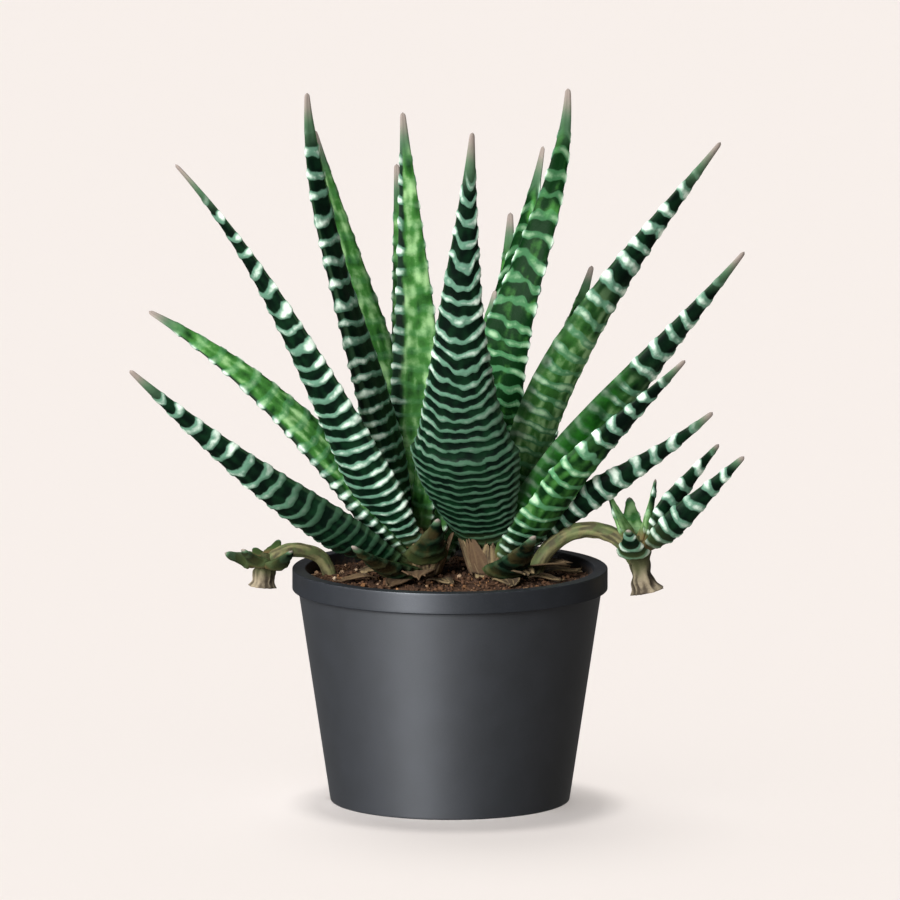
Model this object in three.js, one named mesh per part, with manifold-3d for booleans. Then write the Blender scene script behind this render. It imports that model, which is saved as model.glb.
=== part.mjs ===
// A potted haworthia: a clump of two banded rosettes and two small offsets in a round plastic pot of
// potting mix. Millimetres, +Z up. The origin is the centre of the pot's underside, on the surface
// that the pot stands on. +X is to the viewer's right and +Y points away from the viewer.
import * as THREE from "three";
import { mergeVertices } from "three/addons/utils/BufferGeometryUtils.js";
import Module from "manifold-3d";

const wasm = await Module();
wasm.setup();

// Pot: a tapered round plastic pot with a square-edged collar
const POT_HEIGHT = 67;
const RIM_RADIUS = 45;
const COLLAR_HEIGHT = 6.1;
const COLLAR_OVERHANG = 1.7;
const FOOT_RADIUS = 34.2;
const WALL = 2.2;
const LIP = 3.8;
const EDGE_BREAK = 0.5;
const FOOT_CHAMFER = 1;
const FLOOR_TOP = 3;
const UNDERSIDE_RECESS = 1.2;
const CENTRE_DISC_RADIUS = 14;
const FOOT_RING_WIDTH = 3.2;
const DRAIN_HOLES = 6;
const DRAIN_DIAMETER = 5;
const DRAIN_CIRCLE = 22;
const DRAIN_SIDES = 12;
const WATER_NOTCHES = 2;
const WATER_NOTCH_WIDTH = 5;
const POT_SIDES = 48;

// Potting mix: fills the pot to just under its rim, a little higher round the plants
const SOIL_TOP = 63.6;
const SOIL_MOUND = 1.2;
const SOIL_LUMP = 0.35;
const SOIL_SIDES = 40;
const SOIL_RING_SHARES = [0.15, 0.38, 0.6, 0.82];

// What two pieces that touch keep between them
const CLEARANCE = 0.3;

// Leaf form: shares of a leaf's own width and length
const FOOT_WIDTH_SHARE = 0.72;
const WIDEST_AT = 0.2;
const TIP_WIDTH = 2.4;
const TAPER = 0.92;
const OUTER_BULGE = 0.29;
const INNER_BULGE = 0.08;
const FOOT_THICKNESS_SHARE = 0.75;
const LEAST_OUTER = 0.45;
const LEAST_INNER = 0.35;
const SHOULDER = 0.72;
const SPINE_STEPS = 60;
const FOOT_RING_AT = 0.06;
const TIP_RING_AT = 0.985;
const TIP_RING_SHARE = 0.85;
const TIP_END_SHARE = 0.35;

// Raised bands across a leaf's outer face
const BAND_PITCH = 12;
const BAND_WIDTH = 2.2;
const BAND_HEIGHT = 0.65;
const BAND_START = 0.16;
const BAND_END = 0.94;
const BAND_AT_MARGIN = 0.35;
const BAND_AT_SHOULDER = 0.5;

// Crowns: where each rosette's stem stands in the mix
const STEM_RADIUS = 6;
const STEM_RISE = 15;
const STEM_DEPTH = 14;
const STEM_SIDES = 12;
const FIRST_LEAF_REACH = 1;
const TIER_REACH = 0.7;
const LEFT_CROWN = { x: -9.5, y: 0, top: 75.6, drop: 1.7 };
const RIGHT_CROWN = { x: 12.5, y: 1, top: 75.6, drop: 1.7 };

// Leaves, youngest first. Each is set by eye: tier counts down the stem from its top, bearing is its
// direction round the crown (0 is +X, 90 is away from the viewer), sweep is how far that turns by the
// tip, climb is its slope at foot, middle and tip, and twist turns its outer face in its lower half.
// Angles are in degrees.
const LEFT_LEAVES = {
  heart: { tier: 0, bearing: 40, climb: [86, 84, 86], length: 46, width: 10 },
  upright_back: { tier: 1, bearing: 86, sweep: 20, climb: [70, 68, 76], length: 126, width: 19 },
  upright_left: { tier: 1, bearing: 176, climb: [83, 73, 88], twist: -16, length: 133, width: 22 },
  back_left: { tier: 2, bearing: 113, sweep: 26, climb: [68, 66, 70], length: 125, width: 22 },
  left: { tier: 2, bearing: 232, sweep: -46, climb: [50, 60, 47], twist: 22, length: 140, width: 17 },
  back_right: { tier: 2, bearing: 50, climb: [66, 64, 70], length: 78, width: 14 },
  back: { tier: 3, bearing: 93, sweep: 4, climb: [56, 56, 62], length: 123, width: 15 },
  front: { tier: 3, bearing: 290, climb: [30, 42, 56], length: 20, width: 13 },
  arching_left: {
    tier: 3, bearing: 200, sweep: -40, climb: [58, 44, 25], twist: -36, length: 104, width: 19,
  },
  low_back_left: { tier: 4, bearing: 129, climb: [44, 46, 54], length: 68, width: 15 },
  low_front_left: {
    tier: 4, bearing: 208, sweep: -4, climb: [26, 36, 42], twist: 40, length: 106, width: 18,
  },
  low_back: { tier: 5, bearing: 98, climb: [22, 26, 34], length: 76, width: 15 },
  low_back_right: { tier: 5, bearing: 60, climb: [34, 38, 46], length: 66, width: 14 },
  low_front: { tier: 5, bearing: 242, climb: [14, 18, 28], length: 36, width: 13 },
};
const RIGHT_LEAVES = {
  heart: { tier: 0, bearing: 100, climb: [86, 84, 86], length: 46, width: 10 },
  upright_right: {
    tier: 1, bearing: 112, sweep: -140, climb: [80, 67, 89], twist: 36, length: 134, width: 20,
  },
  upright_back: { tier: 1, bearing: 102, sweep: -66, climb: [64, 63, 77], length: 119, width: 22 },
  great_front: {
    tier: 2, bearing: 240, sweep: 60, climb: [57, 69, 84], length: 136, width: 31, taper: 0.58,
    foot: 0.4, widest: 0.28,
  },
  right: { tier: 2, bearing: 4, sweep: 8, climb: [86, 58, 51], twist: -58, length: 134, width: 21 },
  back: { tier: 3, bearing: 86, climb: [54, 50, 60], length: 112, width: 17 },
  broad_right: {
    tier: 3, bearing: 334, sweep: 20, climb: [60, 50, 51], twist: -40, length: 115, width: 21,
  },
  back_right: { tier: 3, bearing: 63, climb: [56, 50, 54], length: 96, width: 17 },
  slender_right: { tier: 3, bearing: 354, climb: [42, 32, 42], twist: -60, length: 73, width: 13 },
  low_right: { tier: 4, bearing: 330, sweep: 8, climb: [61, 45, 45], twist: -30, length: 84, width: 18 },
  low_back_right: { tier: 4, bearing: 32, climb: [46, 46, 48], length: 77, width: 15 },
  low_back: { tier: 5, bearing: 88, climb: [24, 26, 32], length: 80, width: 15 },
  low_front: { tier: 5, bearing: 290, climb: [18, 26, 34], length: 32, width: 13 },
};

// Offsets: small rosettes that hang over the rim, each on a runner that comes up out of the mix
const RUNNER_SIDES = 7;
const RUNNER_STEPS = 10;
const RIGHT_OFFSET = {
  crown: { x: 53, y: 0, top: 75, drop: 1.2 },
  base: [[56, 0, 60], [54.8, 0, 65], [53.6, 0, 71], [53, 0, 76]],
  baseRadii: [4, 2.8, 3.4, 1.2],
  runner: [[22, -1, 52], [23, -1, 63], [29, -1, 73.5], [38, -0.5, 78], [47, 0, 76], [53, 0, 69]],
  runnerRadius: 2.3,
  leaves: {
    upper: { tier: 0, bearing: 20, climb: [70, 74, 78], twist: -30, length: 18, width: 8 },
    left: { tier: 0, bearing: 156, climb: [56, 60, 66], length: 15, width: 8 },
    right: { tier: 1, bearing: 10, climb: [58, 51, 47], twist: -60, length: 36, width: 10 },
    outer_right: {
      tier: 2, bearing: 344, sweep: 8, climb: [41, 44, 44], twist: -60, length: 40, width: 10,
    },
    back: { tier: 2, bearing: 95, climb: [30, 36, 42], length: 20, width: 9 },
    front: { tier: 3, bearing: 262, climb: [24, 34, 40], length: 17, width: 9 },
  },
};
const LEFT_OFFSET = {
  crown: { x: -52, y: 0, top: 70, drop: 0.9 },
  base: [[-53.6, 0, 61.5], [-53.2, 0, 65], [-52.8, 0, 68], [-52.5, 0, 71]],
  baseRadii: [3.6, 2.8, 3, 1.4],
  runner: [[-33, 7, 52], [-34, 7, 62], [-37, 6, 69], [-44, 3, 71.6], [-49, 1, 70.5], [-52.8, 0, 67]],
  runnerRadius: 2,
  leaves: {
    upper: { tier: 0, bearing: 70, climb: [16, 24, 32], length: 9, width: 6 },
    outer_left: { tier: 1, bearing: 188, climb: [6, 12, 22], twist: 50, length: 11, width: 8 },
    left: { tier: 1, bearing: 236, climb: [16, 24, 34], length: 12, width: 8 },
    back: { tier: 1, bearing: 110, climb: [6, 10, 18], length: 10, width: 7 },
    front: { tier: 2, bearing: 300, climb: [18, 26, 32], length: 13, width: 8 },
  },
};

// Dried sheaths: the papery feet of leaves long gone, in a cup round each stem, some hanging outward
const SHEATHS = {
  left: { bearings: [20, 92, 164, 236, 308], hanging: [270], length: 9, hangingLength: 16 },
  right: { bearings: [50, 122, 194, 266, 338], hanging: [354], length: 9, hangingLength: 15 },
};
const SHEATH_WIDTH = 9;
const SHEATH_RADIUS = 7.4;
const SHEATH_THICKNESS = 1.1;
const SHEATH_KEEL = 0.7;
const SHEATH_HEIGHT = 2.6;
const HUGGING_CLIMB = [64, 74, 66];
const HANGING_CLIMB = [26, 4, -10];
const CUP_FOOT = 0.9;
const CUP_HEIGHT = 3.4;

const COLOURS = { pot: 0x4a4b50, soil: 0x3a241a, stem: 0x8c7a55, leaf: 0x1d4a2b, sheath: 0x9b8865 };

// Joins, cuts and conversions

/** The closed mesh of a three.js geometry as a solid. */
function solidOf(geometry) {
  const bare = new THREE.BufferGeometry();
  const source = geometry.index ? geometry.toNonIndexed() : geometry;
  bare.setAttribute("position", source.getAttribute("position"));
  const merged = mergeVertices(bare, 1e-4);
  const vertProperties = merged.getAttribute("position").array;
  const triVerts = new Uint32Array(merged.index.array);
  return new wasm.Manifold(new wasm.Mesh({ numProp: 3, vertProperties, triVerts }));
}

/** A solid's largest body, so that a scrap left by a cut is dropped. */
function largestBody(solid) {
  return solid.decompose().reduce((best, body) => (body.volume() > best.volume() ? body : best));
}

/** A named mesh of a solid. */
function meshOf(name, solid, colour, roughness) {
  const made = solid.getMesh();
  const positions = new Float32Array(made.numVert * 3);
  for (let i = 0; i < made.numVert; i++) {
    positions.set(made.vertProperties.subarray(i * made.numProp, i * made.numProp + 3), i * 3);
  }
  const geometry = new THREE.BufferGeometry();
  geometry.setAttribute("position", new THREE.BufferAttribute(positions, 3));
  geometry.setIndex(new THREE.BufferAttribute(made.triVerts, 1));
  geometry.computeVertexNormals();
  const material = new THREE.MeshStandardMaterial({ color: colour, roughness, metalness: 0 });
  const mesh = new THREE.Mesh(geometry, material);
  mesh.name = name;
  return mesh;
}

/** A solid turned about Z from a profile of [radius, height] that starts and ends on the axis. */
function turned(profile, sides) {
  const points = profile.map(([radius, height]) => new THREE.Vector2(radius, height));
  return solidOf(new THREE.LatheGeometry(points, sides).rotateX(Math.PI / 2));
}

/** An upright cylinder between two heights. */
function upright(radius, low, high, x, y, sides) {
  const geometry = new THREE.CylinderGeometry(radius, radius, high - low, sides);
  geometry.rotateX(Math.PI / 2).translate(x, y, (low + high) / 2);
  return solidOf(geometry);
}

// Pot

/** The pot's outer radius at a height below its collar. */
function outerRadius(height) {
  const top = RIM_RADIUS - COLLAR_OVERHANG;
  return THREE.MathUtils.mapLinear(height, 0, POT_HEIGHT - COLLAR_HEIGHT, FOOT_RADIUS, top);
}

/** The radius of the pot's inner wall at a height. It stands upright behind the collar. */
function innerRadius(height) {
  return outerRadius(Math.min(height, POT_HEIGHT - COLLAR_HEIGHT)) - WALL;
}

function pot() {
  const collarFoot = POT_HEIGHT - COLLAR_HEIGHT;
  const ringInner = FOOT_RADIUS - FOOT_RING_WIDTH;
  const profile = [
    [0, 0],
    [CENTRE_DISC_RADIUS, 0],
    [CENTRE_DISC_RADIUS + UNDERSIDE_RECESS, UNDERSIDE_RECESS],
    [ringInner - UNDERSIDE_RECESS, UNDERSIDE_RECESS],
    [ringInner, 0],
    [FOOT_RADIUS - FOOT_CHAMFER, 0],
    [outerRadius(FOOT_CHAMFER), FOOT_CHAMFER],
    [outerRadius(collarFoot), collarFoot],
    [RIM_RADIUS - EDGE_BREAK, collarFoot],
    [RIM_RADIUS, collarFoot + EDGE_BREAK],
    [RIM_RADIUS, POT_HEIGHT - EDGE_BREAK],
    [RIM_RADIUS - EDGE_BREAK, POT_HEIGHT],
    [RIM_RADIUS - LIP, POT_HEIGHT],
    [innerRadius(collarFoot), collarFoot],
    [innerRadius(FLOOR_TOP), FLOOR_TOP],
    [0, FLOOR_TOP],
  ];
  let made = turned(profile, POT_SIDES);
  for (let i = 0; i < DRAIN_HOLES; i++) {
    const angle = ((i + 0.5) * 2 * Math.PI) / DRAIN_HOLES;
    const x = DRAIN_CIRCLE * Math.cos(angle);
    const y = DRAIN_CIRCLE * Math.sin(angle);
    made = made.subtract(upright(DRAIN_DIAMETER / 2, -1, FLOOR_TOP + 1, x, y, DRAIN_SIDES));
  }
  for (let i = 0; i < WATER_NOTCHES; i++) {
    const notch = new THREE.BoxGeometry(2 * FOOT_RING_WIDTH, WATER_NOTCH_WIDTH, 2 * UNDERSIDE_RECESS);
    notch.translate(FOOT_RADIUS - FOOT_RING_WIDTH / 2, 0, 0);
    notch.rotateZ((i * 2 * Math.PI) / WATER_NOTCHES);
    made = made.subtract(solidOf(notch));
  }
  return made;
}

// Stems

/** A rosette's short stem: a buried plug, a shoulder at the mix and a tapered top that carries leaves. */
function stem(crown, grow) {
  const profile = [
    [0, SOIL_TOP - STEM_DEPTH - grow],
    [0.5 * STEM_RADIUS + grow, SOIL_TOP - STEM_DEPTH - grow],
    [STEM_RADIUS + grow, SOIL_TOP - 0.3 * STEM_DEPTH],
    [STEM_RADIUS + grow, SOIL_TOP + 0.25 * STEM_RISE],
    [0.62 * STEM_RADIUS + grow, SOIL_TOP + 0.8 * STEM_RISE],
    [0.3 * STEM_RADIUS + grow, SOIL_TOP + STEM_RISE + grow],
    [0, SOIL_TOP + STEM_RISE + grow],
  ];
  return turned(profile, STEM_SIDES).translate([crown.x, crown.y, 0]);
}

// Potting mix

/** The height of the mix at a point: a mound round the plants with lumps that fade at the wall. */
function soilHeight(x, y) {
  const share = Math.min(1, Math.hypot(x, y) / innerRadius(SOIL_TOP));
  const lumps = Math.sin(0.61 * x + 1.3) * Math.sin(0.53 * y) + 0.6 * Math.sin(0.37 * x - 0.71 * y);
  return SOIL_TOP + SOIL_MOUND * (1 - share * share) + SOIL_LUMP * lumps * (1 - share);
}

function soil() {
  const topRadius = innerRadius(SOIL_TOP) - CLEARANCE;
  const rings = [...SOIL_RING_SHARES, 1].map((share) => share * topRadius);
  const profile = rings.map((radius) => [radius, SOIL_TOP]).reverse();
  const bottom = [innerRadius(FLOOR_TOP) - CLEARANCE, FLOOR_TOP];
  const points = [[0, FLOOR_TOP], bottom, ...profile, [0, SOIL_TOP]];
  const lathe = points.map(([radius, height]) => new THREE.Vector2(radius, height));
  const geometry = new THREE.LatheGeometry(lathe, SOIL_SIDES).rotateX(Math.PI / 2);
  const position = geometry.getAttribute("position");
  for (let i = 0; i < position.count; i++) {
    if (position.getZ(i) > SOIL_TOP - 0.01) {
      position.setZ(i, soilHeight(position.getX(i), position.getY(i)));
    }
  }
  const planted = [stem(LEFT_CROWN, CLEARANCE), stem(RIGHT_CROWN, CLEARANCE)];
  planted.push(runner(LEFT_OFFSET, CLEARANCE), runner(RIGHT_OFFSET, CLEARANCE));
  return planted.reduce((mix, piece) => mix.subtract(piece), solidOf(geometry));
}

// Leaves

/** The value at t of the curve that runs through three values at 0, 0.5 and 1. */
function through([start, middle, end], t) {
  return start * (1 - t) * (1 - 2 * t) + 4 * middle * t * (1 - t) + end * t * (2 * t - 1);
}

/** A leaf's width at t, as a share of its greatest: a narrow foot, then an even taper to the tip. */
function widthShare(t, leaf) {
  const tip = TIP_WIDTH / leaf.width;
  const widest = leaf.widest ?? WIDEST_AT;
  if (t < widest) {
    const foot = leaf.foot ?? FOOT_WIDTH_SHARE;
    return THREE.MathUtils.lerp(foot, 1, Math.sin((t / widest) * (Math.PI / 2)));
  }
  return THREE.MathUtils.lerp(1, tip, Math.pow((t - widest) / (1 - widest), leaf.taper ?? TAPER));
}

/** The places along a leaf where a ring of points goes, each with how far its band stands out. */
function leafStations(leaf) {
  const stations = [{ t: 0, raise: 0 }, { t: FOOT_RING_AT, raise: 0 }];
  const span = leaf.length * (BAND_END - BAND_START);
  const bands = Math.max(1, Math.round(span / BAND_PITCH));
  for (let i = 0; i < bands; i++) {
    const middle = BAND_START + ((i + 0.5) / bands) * (BAND_END - BAND_START);
    const half = BAND_WIDTH / 2 / leaf.length;
    stations.push({ t: middle - half, raise: 0 }, { t: middle, raise: 1 }, { t: middle + half, raise: 0 });
  }
  stations.push({ t: TIP_RING_AT, raise: 0 }, { t: 1, raise: 0 });
  return stations;
}

/** A leaf's direction at t. */
function leafForward(leaf, t) {
  const bearing = THREE.MathUtils.degToRad(leaf.bearing + (leaf.sweep ?? 0) * t);
  const climb = THREE.MathUtils.degToRad(through(leaf.climb, t));
  return new THREE.Vector3(Math.cos(bearing), Math.sin(bearing), Math.tan(climb)).normalize();
}

/** Points at even steps along the middle of a leaf, from its foot. */
function leafSpine(leaf, foot) {
  const spine = [foot.clone()];
  for (let i = 0; i < SPINE_STEPS; i++) {
    const forward = leafForward(leaf, (i + 0.5) / SPINE_STEPS);
    spine.push(spine[i].clone().addScaledVector(forward, leaf.length / SPINE_STEPS));
  }
  return spine;
}

/** Rings of a leaf's skin. Each has two margins, three points on the outer face, one on the inner. */
function leafRings(leaf, foot, grow) {
  const spine = leafSpine(leaf, foot);
  return leafStations(leaf).map(({ t, raise }) => {
    const place = Math.min(t * SPINE_STEPS, SPINE_STEPS - 1e-6);
    const centre = spine[Math.floor(place)].clone().lerp(spine[Math.floor(place) + 1], place % 1);
    const forward = leafForward(leaf, t);
    const turn = (leaf.twist ?? 0) * Math.sin(Math.min(1, 2 * t) * (Math.PI / 2));
    const side = new THREE.Vector3(-forward.y, forward.x, 0).normalize();
    side.applyAxisAngle(forward, THREE.MathUtils.degToRad(turn));
    const inward = side.clone().cross(forward).negate();
    const rounding = t === 1 ? TIP_END_SHARE : t === TIP_RING_AT ? TIP_RING_SHARE : 1;
    const width = widthShare(t, leaf) * leaf.width * rounding;
    const fleshy = THREE.MathUtils.lerp(FOOT_THICKNESS_SHARE, 1, Math.min(1, t / WIDEST_AT));
    const band = raise * BAND_HEIGHT * Math.min(1, 0.45 + width / leaf.width);
    const half = width / 2 + grow;
    const outer = Math.max(OUTER_BULGE * width * fleshy, LEAST_OUTER * rounding) + band + grow;
    const inner = Math.max(INNER_BULGE * width * fleshy, LEAST_INNER * rounding) + grow;
    const margin = half + BAND_AT_MARGIN * band;
    const shoulder = SHOULDER * half + BAND_AT_SHOULDER * band;
    const at = (across, up) => centre.clone().addScaledVector(side, across).addScaledVector(inward, up);
    const innerFace = [at(margin, 0), at(0, inner), at(-margin, 0)];
    return [...innerFace, at(-shoulder, -SHOULDER * outer), at(0, -outer), at(shoulder, -SHOULDER * outer)];
  });
}

/** A closed skin over rings of points. */
function skinned(rings) {
  const count = rings[0].length;
  const positions = [];
  const triangle = (a, b, c) => positions.push(...a.toArray(), ...b.toArray(), ...c.toArray());
  for (let r = 0; r + 1 < rings.length; r++) {
    for (let i = 0; i < count; i++) {
      const j = (i + 1) % count;
      triangle(rings[r][i], rings[r][j], rings[r + 1][j]);
      triangle(rings[r][i], rings[r + 1][j], rings[r + 1][i]);
    }
  }
  for (let i = 1; i + 1 < count; i++) {
    const last = rings.length - 1;
    triangle(rings[0][0], rings[0][i + 1], rings[0][i]);
    triangle(rings[last][0], rings[last][i], rings[last][i + 1]);
  }
  const geometry = new THREE.BufferGeometry();
  geometry.setAttribute("position", new THREE.Float32BufferAttribute(positions, 3));
  return solidOf(geometry);
}

/** Where a leaf of a tier starts: the lower the tier, the lower and further out. */
function leafFoot(crown, leaf) {
  const reach = FIRST_LEAF_REACH + TIER_REACH * leaf.tier;
  const bearing = THREE.MathUtils.degToRad(leaf.bearing);
  const foot = new THREE.Vector3(crown.x, crown.y, crown.top - crown.drop * leaf.tier);
  return foot.add(new THREE.Vector3(reach * Math.cos(bearing), reach * Math.sin(bearing), 0));
}

// Offsets and sheaths

/** A round piece along a curve through points, with its radius at each. */
function tapered(points, radii, sides, steps, grow) {
  const curve = new THREE.CatmullRomCurve3(points.map((place) => new THREE.Vector3(...place)));
  const across = new THREE.Vector3(0, 1, 0);
  const rings = [];
  for (let i = 0; i <= steps; i++) {
    const t = i / steps;
    const place = Math.min(t * (radii.length - 1), radii.length - 1 - 1e-6);
    const first = Math.floor(place);
    const radius = THREE.MathUtils.lerp(radii[first], radii[first + 1], place - first) + grow;
    const forward = curve.getTangent(t);
    const upward = forward.clone().cross(across).normalize();
    const ring = [];
    for (let k = 0; k < sides; k++) {
      const angle = (k * 2 * Math.PI) / sides;
      const point = curve.getPoint(t).addScaledVector(across, radius * Math.cos(angle));
      ring.push(point.addScaledVector(upward, radius * Math.sin(angle)));
    }
    rings.push(ring);
  }
  return skinned(rings);
}

/** An offset's runner. */
function runner(offset, grow) {
  const radii = [offset.runnerRadius, offset.runnerRadius];
  return tapered(offset.runner, radii, RUNNER_SIDES, RUNNER_STEPS, grow);
}

/** An offset: its dried foot, its runner and its leaves, grown together. */
function offsetPlant(offset, grow) {
  const dried = tapered(offset.base, offset.baseRadii, RUNNER_SIDES + 1, offset.base.length, grow);
  let made = dried.add(runner(offset, grow));
  for (const leaf of Object.values(offset.leaves)) {
    made = made.add(skinned(leafRings(leaf, leafFoot(offset.crown, leaf), grow)));
  }
  return largestBody(made);
}

/** One dried sheath: a thin keeled blade that hugs the stem or hangs outward. */
function sheath(crown, bearing, length, climb) {
  const direction = THREE.MathUtils.degToRad(bearing);
  const outward = new THREE.Vector3(Math.cos(direction), Math.sin(direction), 0);
  const side = new THREE.Vector3(-Math.sin(direction), Math.cos(direction), 0);
  const rings = [];
  const spine = new THREE.Vector3(crown.x, crown.y, SOIL_TOP + SHEATH_HEIGHT);
  spine.addScaledVector(outward, SHEATH_RADIUS);
  const steps = 4;
  for (let i = 0; i <= steps; i++) {
    const t = i / steps;
    const slope = THREE.MathUtils.degToRad(through(climb, t));
    const forward = outward.clone().multiplyScalar(Math.cos(slope)).setZ(Math.sin(slope));
    const up = side.clone().cross(forward).negate();
    const half = (SHEATH_WIDTH / 2) * (1 - 0.75 * t * t);
    const at = (across, lift) => spine.clone().addScaledVector(side, across).addScaledVector(up, lift);
    const top = [at(half, SHEATH_THICKNESS), at(-half, SHEATH_THICKNESS)];
    rings.push([...top, at(-half, 0), at(0, -SHEATH_KEEL), at(half, 0)]);
    spine.addScaledVector(forward, length / steps);
  }
  return skinned(rings);
}

/** The cup of dried sheaths round a stem, on a ring that sits on the mix. */
function sheathCup(crown, dried) {
  const low = SOIL_TOP + SOIL_MOUND + CUP_FOOT;
  const high = low + CUP_HEIGHT;
  const hole = upright(STEM_RADIUS + CLEARANCE, low - 1, high + 1, crown.x, crown.y, STEM_SIDES);
  let cup = upright(SHEATH_RADIUS + SHEATH_THICKNESS, low, high, crown.x, crown.y, 16).subtract(hole);
  for (const bearing of dried.bearings) {
    cup = cup.add(sheath(crown, bearing, dried.length, HUGGING_CLIMB));
  }
  for (const bearing of dried.hanging) {
    cup = cup.add(sheath(crown, bearing, dried.hangingLength, HANGING_CLIMB));
  }
  return cup;
}

// Assembly

const plant = new THREE.Group();
plant.add(meshOf("pot", pot(), COLOURS.pot, 0.45));
plant.add(meshOf("potting_mix", soil(), COLOURS.soil, 0.95));
plant.add(meshOf("left_stem", stem(LEFT_CROWN, 0), COLOURS.stem, 0.8));
plant.add(meshOf("right_stem", stem(RIGHT_CROWN, 0), COLOURS.stem, 0.8));
plant.add(meshOf("left_offset", offsetPlant(LEFT_OFFSET, 0), COLOURS.leaf, 0.5));
plant.add(meshOf("right_offset", offsetPlant(RIGHT_OFFSET, 0), COLOURS.leaf, 0.5));

// An older leaf's foot is cut round every younger leaf, as a real one is pressed to fit them
const crowns = [
  { side: "left", crown: LEFT_CROWN, leaves: LEFT_LEAVES },
  { side: "right", crown: RIGHT_CROWN, leaves: RIGHT_LEAVES },
];
let taken = stem(LEFT_CROWN, CLEARANCE).add(stem(RIGHT_CROWN, CLEARANCE));
taken = taken.add(offsetPlant(LEFT_OFFSET, CLEARANCE)).add(offsetPlant(RIGHT_OFFSET, CLEARANCE));
const youngestFirst = crowns.flatMap(({ side, crown, leaves }) =>
  Object.entries(leaves).map(([name, leaf]) => ({ name: `${side}_leaf_${name}`, crown, leaf })),
);
youngestFirst.sort((a, b) => a.leaf.tier - b.leaf.tier);
for (const { name, crown, leaf } of youngestFirst) {
  const foot = leafFoot(crown, leaf);
  const fitted = largestBody(skinned(leafRings(leaf, foot, 0)).subtract(taken));
  plant.add(meshOf(name, fitted, COLOURS.leaf, 0.5));
  taken = taken.add(skinned(leafRings(leaf, foot, CLEARANCE)));
}
for (const { side, crown } of crowns) {
  const fitted = largestBody(sheathCup(crown, SHEATHS[side]).subtract(taken));
  plant.add(meshOf(`${side}_sheaths`, fitted, COLOURS.sheath, 0.9));
}

export default plant;
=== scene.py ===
"""Looks of a potted haworthia: two banded rosettes and two small offsets in a charcoal plastic pot.

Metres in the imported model's frame: the origin is under the middle of the pot, +X is to the viewer's
right, +Y points away from the viewer and +Z is up. Sizes are written in millimetres and scaled.
"""

from math import cos, pi, radians, sin, tau

import bmesh
import bpy
import numpy as np
from mathutils import Matrix, Vector, noise


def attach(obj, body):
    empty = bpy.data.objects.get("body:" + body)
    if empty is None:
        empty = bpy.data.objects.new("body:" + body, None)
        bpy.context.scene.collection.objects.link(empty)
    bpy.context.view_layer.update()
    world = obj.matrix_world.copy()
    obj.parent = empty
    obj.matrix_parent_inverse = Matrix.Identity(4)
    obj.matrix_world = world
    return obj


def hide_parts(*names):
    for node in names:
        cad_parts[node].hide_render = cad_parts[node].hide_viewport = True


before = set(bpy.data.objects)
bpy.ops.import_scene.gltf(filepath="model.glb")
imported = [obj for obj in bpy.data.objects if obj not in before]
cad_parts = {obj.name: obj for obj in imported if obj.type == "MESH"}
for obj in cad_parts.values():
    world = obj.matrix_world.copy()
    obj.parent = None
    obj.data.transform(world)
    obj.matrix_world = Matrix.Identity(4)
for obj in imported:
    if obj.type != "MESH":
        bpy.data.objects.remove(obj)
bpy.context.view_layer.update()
MM = 0.001

# Camera: it stands a little above the rim of the pot and looks down on it by nine degrees, far off
# and with a long lens, so that the sides of the pot stay nearly parallel.
SHOWN_WIDTH = 0.2564
AIM = Vector((0, 0, 0.1009))
DISTANCE = 4
RISE = radians(8.97)

camera = bpy.data.objects.new("camera", bpy.data.cameras.new("camera"))
bpy.context.scene.collection.objects.link(camera)
camera.location = AIM + DISTANCE * Vector((0, -cos(RISE), sin(RISE)))
camera.rotation_euler = (pi / 2 - RISE, 0, 0)
camera.data.lens = camera.data.sensor_width * DISTANCE / SHOWN_WIDTH
camera.data.clip_end = 20
bpy.context.scene.camera = camera

# Pot: one injection moulding in charcoal plastic with a square collar, drain holes and a ring to
# stand on. Its profile is spun, its corners are eased, and the holes and notches are cut through.
FOOT_RADIUS = 34.2
RIM_RADIUS = 45
COLLAR_OVERHANG = 1.7
POT_HEIGHT = 67
COLLAR_FOOT = 60.9
WALL = 2.2
LIP = 3.8
POT_FLOOR = 3
RECESS = 1.2
CENTRE_DISC = 14
FOOT_RING = 3.2
DRAINS = 6
DRAIN_DIAMETER = 5
DRAIN_CIRCLE = 22
NOTCHES = 2
NOTCH_WIDTH = 5
CORNER = 0.32
SPIN_STEPS = 120


class Wire:
    """A value on its way between the nodes of one material. Arithmetic on it adds Math nodes."""

    def __init__(self, tree, socket=None):
        self.tree, self.socket = tree, socket

    def node(self, kind, inputs, output=0, stops=(), **settings):
        """Adds a node: its settings and ramp stops first, then its sockets' values and links."""
        made = self.tree.nodes.new("ShaderNode" + kind)
        for name, value in settings.items():
            setattr(made, name, value)
        for place, (position, colour) in enumerate(stops):
            ends = made.color_ramp.elements
            stop = ends[place] if place < len(ends) else ends.new(position)
            stop.position, stop.color = position, colour
        for name, value in inputs.items():
            if isinstance(value, Wire):
                self.tree.links.new(value.socket, made.inputs[name])
            else:
                made.inputs[name].default_value = value
        return Wire(self.tree, made.outputs[output] if made.outputs else None)

    def math(self, operation, first, second):
        return self.node("Math", {0: first, 1: second}, operation=operation)

    def __add__(self, other):
        return self.math("ADD", self, other)

    def __radd__(self, other):
        return self.math("ADD", other, self)

    def __sub__(self, other):
        return self.math("SUBTRACT", self, other)

    def __rsub__(self, other):
        return self.math("SUBTRACT", other, self)

    def __mul__(self, other):
        return self.math("MULTIPLY", self, other)

    def __rmul__(self, other):
        return self.math("MULTIPLY", other, self)


def between(value, low, high):
    """0 below low, 1 above high, and smooth from one to the other."""
    ends = {"Value": value, "From Min": low, "From Max": high}
    return value.node("MapRange", ends, interpolation_type="SMOOTHSTEP")


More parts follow.
